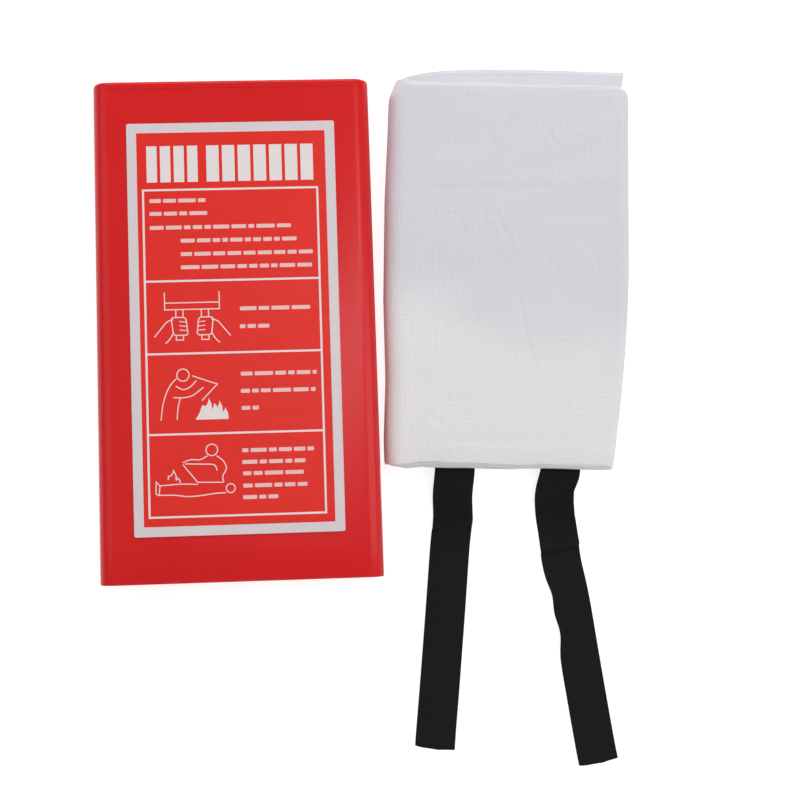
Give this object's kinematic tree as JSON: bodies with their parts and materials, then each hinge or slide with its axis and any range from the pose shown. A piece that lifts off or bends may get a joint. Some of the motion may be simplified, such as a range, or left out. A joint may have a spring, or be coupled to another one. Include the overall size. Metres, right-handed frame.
{
  "type": "fire blanket set",
  "caption": "Folded glass-fibre fire blanket with pull straps, beside its open-ended rigid wall case with a round-cornered instruction label.",
  "frame": {"origin": "middle of the case's flat back face, the face that goes against a wall", "axes": "+Y from the case's open mouth to its capped end, +Z out of the back face to the label side, +X from the case to the blanket pack"},
  "size_m": [0.3284, 0.4317, 0.0367],
  "materials": {
    "red_plastic": "semi-gloss",
    "print_film": "satin printed film",
    "glass_cloth": "woven glass fibre",
    "black_webbing": "woven webbing",
    "black_thread": "sewing thread"
  },
  "bodies": {
    "case": {"case_sleeve": "red_plastic", "case_top_cap": "red_plastic", "front_label": "print_film"},
    "blanket_back": {"blanket_back_half": "glass_cloth", "left_strap_sewn_end": "black_webbing", "right_strap_sewn_end": "black_webbing", "left_strap_stitching": "black_thread", "right_strap_stitching": "black_thread"},
    "blanket_front": {"blanket_front_half": "glass_cloth"},
    "left_pull_strap": {"left_strap": "black_webbing"},
    "right_pull_strap": {"right_strap": "black_webbing"}
  },
  "joints": [
    {"name": "blanket_pull", "type": "slide", "parent": "case", "child": "blanket_back", "axis": [0, -1, 0], "range_m": [0, 0.3]},
    {"name": "blanket_open", "type": "hinge", "parent": "blanket_back", "child": "blanket_front", "pos_m": [0.09087, 0.033, 0.01225], "axis": [-0.0366, -0.9993, 0], "range_deg": [0, 35]},
    {"name": "left_strap_lift", "type": "hinge", "parent": "blanket_back", "child": "left_pull_strap", "pos_m": [0.12928, -0.08769, 0.0119], "axis": [-0.9993, 0.0366, 0], "range_deg": [0, 90]},
    {"name": "right_strap_lift", "type": "hinge", "parent": "blanket_back", "child": "right_pull_strap", "pos_m": [0.19403, -0.09006, 0.0119], "axis": [-0.9993, 0.0366, 0], "range_deg": [0, 90]}
  ]
}
